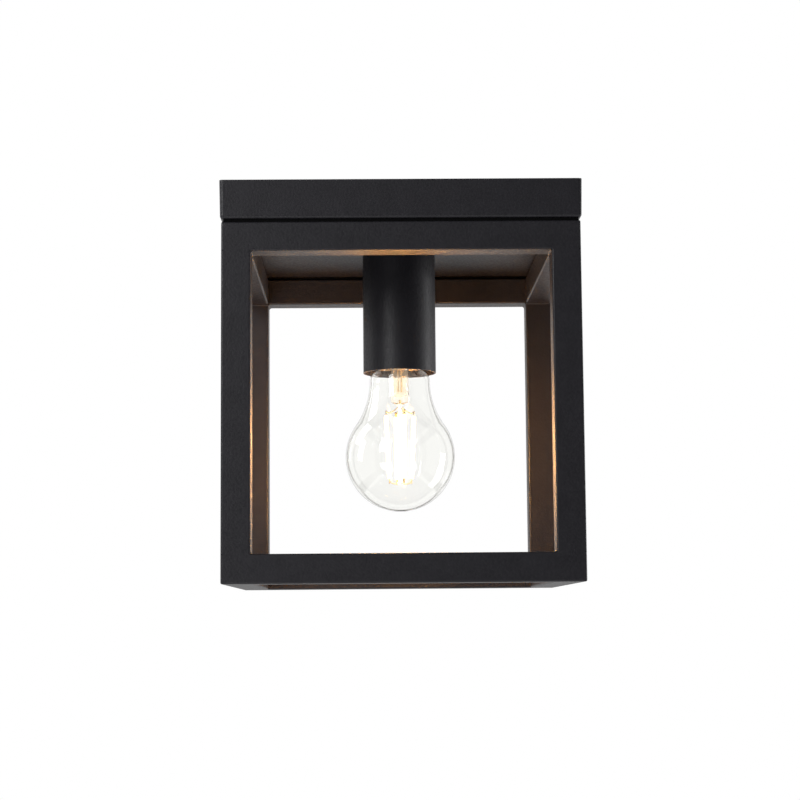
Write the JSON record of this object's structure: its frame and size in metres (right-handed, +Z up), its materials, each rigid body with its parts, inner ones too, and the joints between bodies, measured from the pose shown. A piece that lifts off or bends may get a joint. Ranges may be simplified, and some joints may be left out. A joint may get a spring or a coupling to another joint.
{
  "type": "porch ceiling lantern",
  "caption": "Flush ceiling lantern: square canopy tray over an open cube of square tube, with a lampholder cup and a screw-in globe lamp in the middle.",
  "frame": {"origin": "centre of the face that meets the ceiling, midway between the strap's two slots", "axes": "+Z up into the ceiling, +X to the right and -Y towards the viewer in the picture"},
  "size_m": [0.185, 0.185, 0.205],
  "materials": {
    "black_powder_coat": "fine-textured matt polyester powder coat on steel",
    "zinc_plated_steel": "bright zinc plate",
    "tinned_copper": "tinned copper",
    "foam_rubber": "closed-cell EPDM foam",
    "grommet_rubber": "black EPDM rubber",
    "white_polyamide": "natural polyamide",
    "brass": "bright brass",
    "brown_insulation": "brown silicone insulation",
    "blue_insulation": "blue silicone insulation",
    "green_yellow_insulation": "green and yellow insulation",
    "black_thermoset": "black thermoset moulding",
    "porcelain": "glazed porcelain",
    "nickel_plated_brass": "nickel plate on brass sheet",
    "black_cap_glass": "black cap glass",
    "clear_glass": "clear soda-lime glass",
    "stem_glass": "clear stem glass",
    "capping_cement": "phenolic capping cement",
    "filament_phosphor": "silicone with yellow phosphor, lit",
    "filament_metal": "nickel-iron wire",
    "circuit_board": "fibreglass board",
    "driver_components": "black component cases"
  },
  "bodies": {
    "lantern": {"bottom_rail_back": "black_powder_coat", "bottom_rail_front": "black_powder_coat", "bottom_rail_left": "black_powder_coat", "bottom_rail_right": "black_powder_coat", "cable_grommet": "grommet_rubber", "canopy_gasket": "foam_rubber", "canopy_tray": "black_powder_coat", "cup_end_disc": "black_powder_coat", "cup_nipple": "zinc_plated_steel", "earth_tag": "tinned_copper", "earth_washer": "zinc_plated_steel", "earth_wire": "green_yellow_insulation", "frame_gasket": "foam_rubber", "frame_nuts": "zinc_plated_steel", "frame_screws": "zinc_plated_steel", "holder_cap": "black_thermoset", "holder_centre_contact": "brass", "holder_core": "porcelain", "holder_sleeve": "black_thermoset", "holder_terminal_screws": "zinc_plated_steel", "holder_terminals": "brass", "holder_threaded_shell": "nickel_plated_brass", "lampholder_cup": "black_powder_coat", "live_wire": "brown_insulation", "mounting_strap": "zinc_plated_steel", "neutral_wire": "blue_insulation", "nipple_lock_washer": "zinc_plated_steel", "nipple_nut": "zinc_plated_steel", "post_back_left": "black_powder_coat", "post_back_right": "black_powder_coat", "post_front_left": "black_powder_coat", "post_front_right": "black_powder_coat", "shell_rivets": "brass", "strap_nuts": "zinc_plated_steel", "stud_nuts": "zinc_plated_steel", "terminal_block": "white_polyamide", "terminal_clamps": "brass", "terminal_screws": "zinc_plated_steel", "top_rail_back": "black_powder_coat", "top_rail_front": "black_powder_coat", "top_rail_left": "black_powder_coat", "top_rail_right": "black_powder_coat", "weld_studs": "zinc_plated_steel"},
    "side_screw_left": {"side_screw_left": "zinc_plated_steel"},
    "side_screw_right": {"side_screw_right": "zinc_plated_steel"},
    "bulb_contact": {"bulb_centre_contact": "brass"},
    "bulb": {"bulb_cap": "nickel_plated_brass", "bulb_cap_cement": "capping_cement", "bulb_cap_insulator": "black_cap_glass", "bulb_driver_board": "circuit_board", "bulb_driver_parts": "driver_components", "bulb_filament_tabs": "filament_metal", "bulb_filaments": "filament_phosphor", "bulb_glass": "clear_glass", "bulb_glass_rod": "stem_glass", "bulb_lead_wires": "filament_metal", "bulb_stem": "stem_glass", "bulb_support_wires": "filament_metal"}
  },
  "joints": [
    {"name": "bulb_travel", "type": "slide", "parent": "lantern", "child": "bulb_contact", "axis": [0, 0, -1], "range_m": [0, 0.01815]},
    {"name": "bulb_turn", "type": "hinge", "parent": "bulb_contact", "child": "bulb", "pos_m": [0, 0, -0.06], "axis": [0, 0, -1], "range_deg": [0, 1800]},
    {"name": "side_screw_left_travel", "type": "slide", "parent": "lantern", "child": "side_screw_left", "axis": [1, 0, 0], "range_m": [0, 0.003]},
    {"name": "side_screw_right_travel", "type": "slide", "parent": "lantern", "child": "side_screw_right", "axis": [-1, 0, 0], "range_m": [0, 0.003]}
  ],
  "couplings": [
    {"joint": "bulb_travel", "follows": "bulb_turn", "m_per_rad": 0.00057741}
  ]
}
